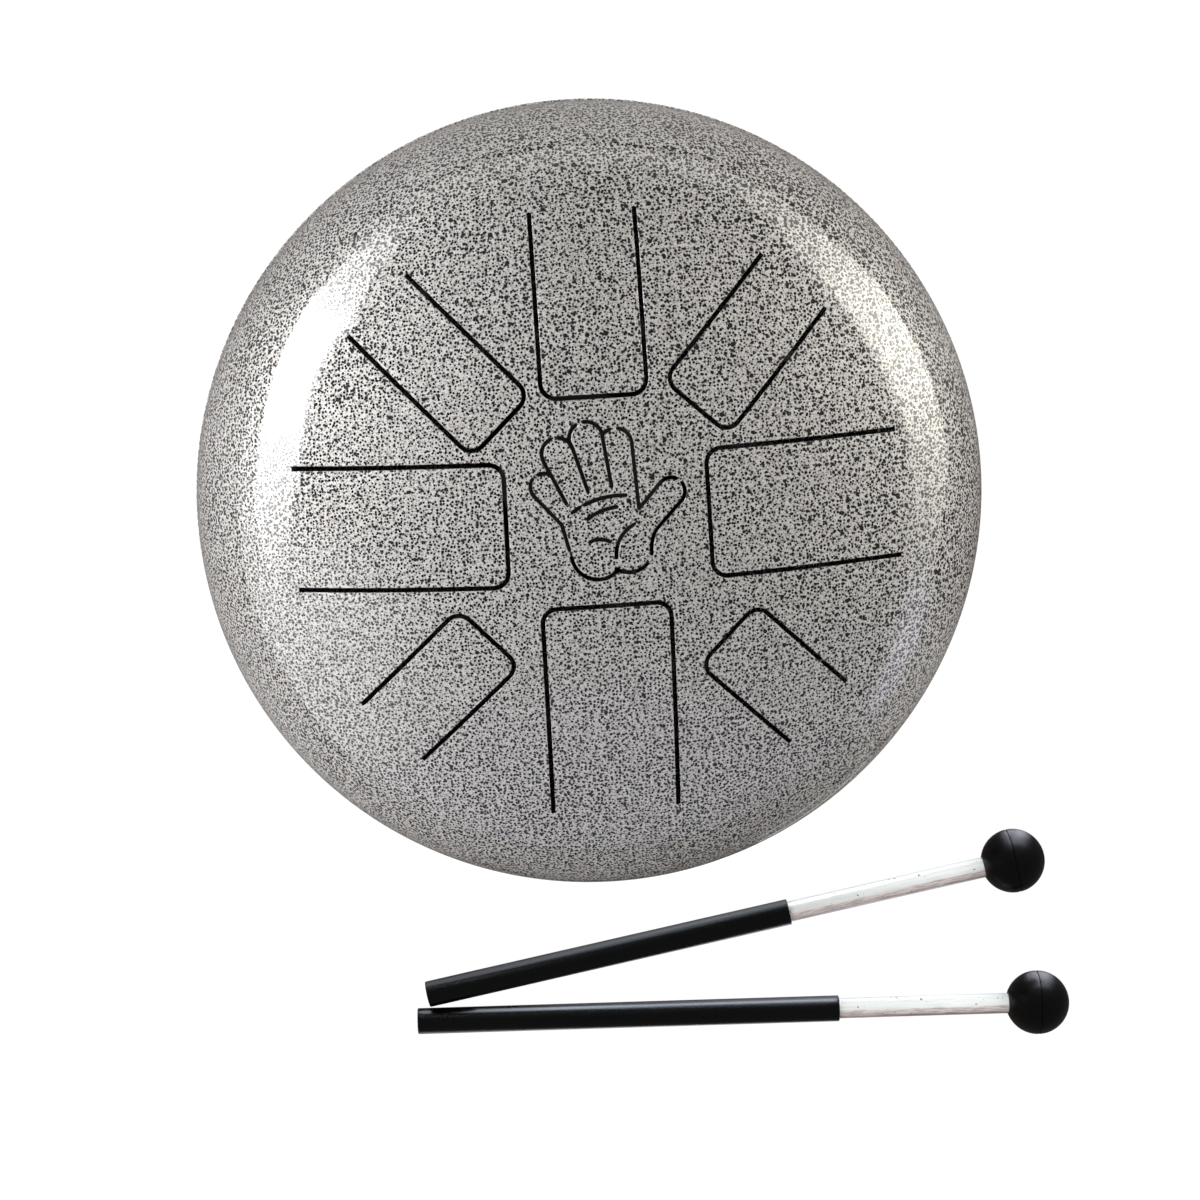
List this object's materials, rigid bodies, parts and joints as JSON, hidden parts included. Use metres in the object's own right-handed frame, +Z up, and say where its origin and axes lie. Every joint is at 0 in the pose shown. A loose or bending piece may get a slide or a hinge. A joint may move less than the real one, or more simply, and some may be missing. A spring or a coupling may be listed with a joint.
{
  "type": "steel tongue drum",
  "caption": "Round steel drum of two welded domes, with struck tongues cut in its top, a sound hole below, rubber feet and a pair of mallets.",
  "frame": {"origin": "on the drum's axis, in the plane of the floor that the feet stand on", "axes": "+Z up along the drum's axis, -Y towards the player and the mallets, +X to the player's right"},
  "size_m": [0.2902, 0.3383, 0.1484],
  "materials": {
    "hammered_paint": "hammered silver enamel with dark speckles",
    "painted_weld": "rippled weld under the same enamel",
    "trim_rubber": "matt",
    "foot_rubber": "matt, moulded",
    "zinc_steel": "zinc plated",
    "screw_steel": "zinc plated",
    "ball_rubber": "satin moulded, with a parting line",
    "tube_aluminium": "satin drawn",
    "grip_rubber": "semi-gloss sleeve"
  },
  "bodies": {
    "drum": {"top_shell": "hammered_paint", "bottom_shell": "hammered_paint", "weld_bead": "painted_weld", "sound_hole_trim": "trim_rubber", "foot_1": "foot_rubber", "foot_2": "foot_rubber", "foot_3": "foot_rubber", "foot_4": "foot_rubber", "cup_washer_1": "zinc_steel", "cup_washer_2": "zinc_steel", "cup_washer_3": "zinc_steel", "cup_washer_4": "zinc_steel", "foot_screw_1": "screw_steel", "foot_screw_2": "screw_steel", "foot_screw_3": "screw_steel", "foot_screw_4": "screw_steel", "inner_washer_1": "zinc_steel", "inner_washer_2": "zinc_steel", "inner_washer_3": "zinc_steel", "inner_washer_4": "zinc_steel", "foot_nut_1": "screw_steel", "foot_nut_2": "screw_steel", "foot_nut_3": "screw_steel", "foot_nut_4": "screw_steel"},
    "tongue_1": {"tongue_1": "hammered_paint"},
    "tongue_2": {"tongue_2": "hammered_paint"},
    "tongue_3": {"tongue_3": "hammered_paint"},
    "tongue_4": {"tongue_4": "hammered_paint"},
    "tongue_5": {"tongue_5": "hammered_paint"},
    "tongue_6": {"tongue_6": "hammered_paint"},
    "tongue_7": {"tongue_7": "hammered_paint"},
    "tongue_8": {"tongue_8": "hammered_paint"},
    "mallet_1": {"mallet_1_head": "ball_rubber", "mallet_1_tube": "tube_aluminium", "mallet_1_grip": "grip_rubber"},
    "mallet_2": {"mallet_2_head": "ball_rubber", "mallet_2_tube": "tube_aluminium", "mallet_2_grip": "grip_rubber"}
  },
  "joints": [
    {"name": "tongue_1_bend", "type": "hinge", "parent": "drum", "child": "tongue_1", "pos_m": [0.0932, 0.00098, 0.12666], "axis": [-0.0105, 0.9999, 0], "range_deg": [-0.4, 0.4], "stiffness_Nm_per_rad": 20},
    {"name": "tongue_2_bend", "type": "hinge", "parent": "drum", "child": "tongue_2", "pos_m": [0.0638, 0.06794, 0.12666], "axis": [-0.729, 0.6845, 0], "range_deg": [-0.4, 0.4], "stiffness_Nm_per_rad": 20},
    {"name": "tongue_3_bend", "type": "hinge", "parent": "drum", "child": "tongue_3", "pos_m": [0.00016, 0.0932, 0.12666], "axis": [-1, 0.0017, 0], "range_deg": [-0.4, 0.4], "stiffness_Nm_per_rad": 20},
    {"name": "tongue_4_bend", "type": "hinge", "parent": "drum", "child": "tongue_4", "pos_m": [-0.06368, 0.06805, 0.12666], "axis": [-0.7302, -0.6833, 0], "range_deg": [-0.4, 0.4], "stiffness_Nm_per_rad": 20},
    {"name": "tongue_5_bend", "type": "hinge", "parent": "drum", "child": "tongue_5", "pos_m": [-0.0932, 0.00098, 0.12666], "axis": [-0.0105, -0.9999, 0], "range_deg": [-0.4, 0.4], "stiffness_Nm_per_rad": 20},
    {"name": "tongue_6_bend", "type": "hinge", "parent": "drum", "child": "tongue_6", "pos_m": [-0.06772, -0.06404, 0.12666], "axis": [0.6871, -0.7266, 0], "range_deg": [-0.4, 0.4], "stiffness_Nm_per_rad": 20},
    {"name": "tongue_7_bend", "type": "hinge", "parent": "drum", "child": "tongue_7", "pos_m": [0.00032, -0.0932, 0.12666], "axis": [1, 0.0035, 0], "range_deg": [-0.4, 0.4], "stiffness_Nm_per_rad": 20},
    {"name": "tongue_8_bend", "type": "hinge", "parent": "drum", "child": "tongue_8", "pos_m": [0.06521, -0.06659, 0.12666], "axis": [0.7145, 0.6997, 0], "range_deg": [-0.4, 0.4], "stiffness_Nm_per_rad": 20},
    {"name": "mallet_1_lift", "type": "slide", "parent": "drum", "child": "mallet_1", "axis": [0, 0, 1], "range_m": [0, 0.15]},
    {"name": "mallet_2_lift", "type": "slide", "parent": "drum", "child": "mallet_2", "axis": [0, 0, 1], "range_m": [0, 0.15]}
  ]
}
